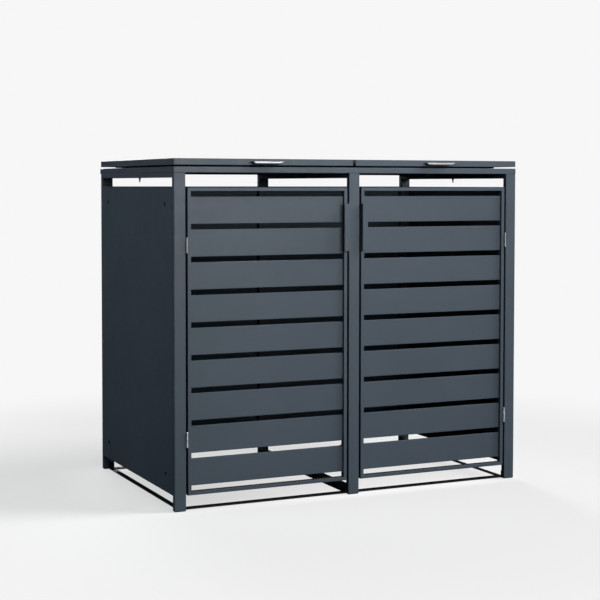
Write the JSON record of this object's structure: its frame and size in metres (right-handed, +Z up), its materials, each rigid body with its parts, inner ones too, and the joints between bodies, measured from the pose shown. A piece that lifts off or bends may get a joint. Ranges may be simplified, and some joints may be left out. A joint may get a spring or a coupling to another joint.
{
  "type": "wheelie bin store",
  "caption": "Steel store for wheelie bins with slatted front doors on side hinges, closed sides and back, an open floor and flat lids hinged along the back.",
  "frame": {"origin": "on the ground, at the middle of the outline seen from above", "axes": "+X to the right as seen from the front, +Y towards the back, +Z up"},
  "size_m": [1.3248, 0.832, 1.163],
  "materials": {
    "anthracite_coat": "fine matt powder coat, anthracite blue-grey",
    "hinge_zinc": "bright zinc",
    "handle_steel": "brushed stainless steel",
    "black_plastic": "matt black plastic",
    "foot_plastic": "matt plastic moulded in the colour of the coat",
    "buffer_rubber": "black rubber",
    "screw_dark": "dark passivated screws, satin"
  },
  "bodies": {
    "frame": {"front_left_post": "anthracite_coat", "front_middle_post": "anthracite_coat", "front_right_post": "anthracite_coat", "back_left_post": "anthracite_coat", "back_middle_post": "anthracite_coat", "back_right_post": "anthracite_coat", "post_feet": "foot_plastic", "rim_front": "anthracite_coat", "rim_back": "anthracite_coat", "rim_left": "anthracite_coat", "rim_right": "anthracite_coat", "top_rail_left": "anthracite_coat", "top_rail_middle": "anthracite_coat", "top_rail_right": "anthracite_coat", "side_panel_left": "anthracite_coat", "side_panel_right": "anthracite_coat", "back_panel_left": "anthracite_coat", "back_panel_right": "anthracite_coat", "panel_rails": "anthracite_coat", "floor_rail_middle": "anthracite_coat", "floor_bars": "anthracite_coat", "frame_screws": "screw_dark", "hinge_fixed_leaves": "hinge_zinc", "hinge_pins": "hinge_zinc", "lid_buffers": "buffer_rubber", "door_catches": "black_plastic"},
    "door_left": {"door_left_stiles": "anthracite_coat", "door_left_rails": "anthracite_coat", "door_left_slat_1": "anthracite_coat", "door_left_slat_2": "anthracite_coat", "door_left_slat_3": "anthracite_coat", "door_left_slat_4": "anthracite_coat", "door_left_slat_5": "anthracite_coat", "door_left_slat_6": "anthracite_coat", "door_left_slat_7": "anthracite_coat", "door_left_slat_8": "anthracite_coat", "door_left_slat_9": "anthracite_coat", "door_left_handle": "anthracite_coat", "door_left_hinge_leaves": "hinge_zinc"},
    "door_right": {"door_right_stiles": "anthracite_coat", "door_right_rails": "anthracite_coat", "door_right_slat_1": "anthracite_coat", "door_right_slat_2": "anthracite_coat", "door_right_slat_3": "anthracite_coat", "door_right_slat_4": "anthracite_coat", "door_right_slat_5": "anthracite_coat", "door_right_slat_6": "anthracite_coat", "door_right_slat_7": "anthracite_coat", "door_right_slat_8": "anthracite_coat", "door_right_slat_9": "anthracite_coat", "door_right_handle": "anthracite_coat", "door_right_hinge_leaves": "hinge_zinc"},
    "lid_left": {"lid_left": "anthracite_coat", "lid_left_ribs": "anthracite_coat", "lid_left_handle": "handle_steel", "lid_left_hinge_leaves": "hinge_zinc"},
    "lid_right": {"lid_right": "anthracite_coat", "lid_right_ribs": "anthracite_coat", "lid_right_handle": "handle_steel", "lid_right_hinge_leaves": "hinge_zinc"}
  },
  "joints": [
    {"name": "door_left_swing", "type": "hinge", "parent": "frame", "child": "door_left", "pos_m": [-0.6165, -0.3935, 0.5], "axis": [0, 0, -1], "range_deg": [0, 110]},
    {"name": "door_right_swing", "type": "hinge", "parent": "frame", "child": "door_right", "pos_m": [0.6165, -0.3935, 0.5], "axis": [0, 0, 1], "range_deg": [0, 110]},
    {"name": "lid_left_lift", "type": "hinge", "parent": "frame", "child": "lid_left", "pos_m": [-0.3325, 0.4115, 1.1395], "axis": [-1, 0, 0], "range_deg": [0, 100]},
    {"name": "lid_right_lift", "type": "hinge", "parent": "frame", "child": "lid_right", "pos_m": [0.3325, 0.4115, 1.1395], "axis": [-1, 0, 0], "range_deg": [0, 100]}
  ]
}
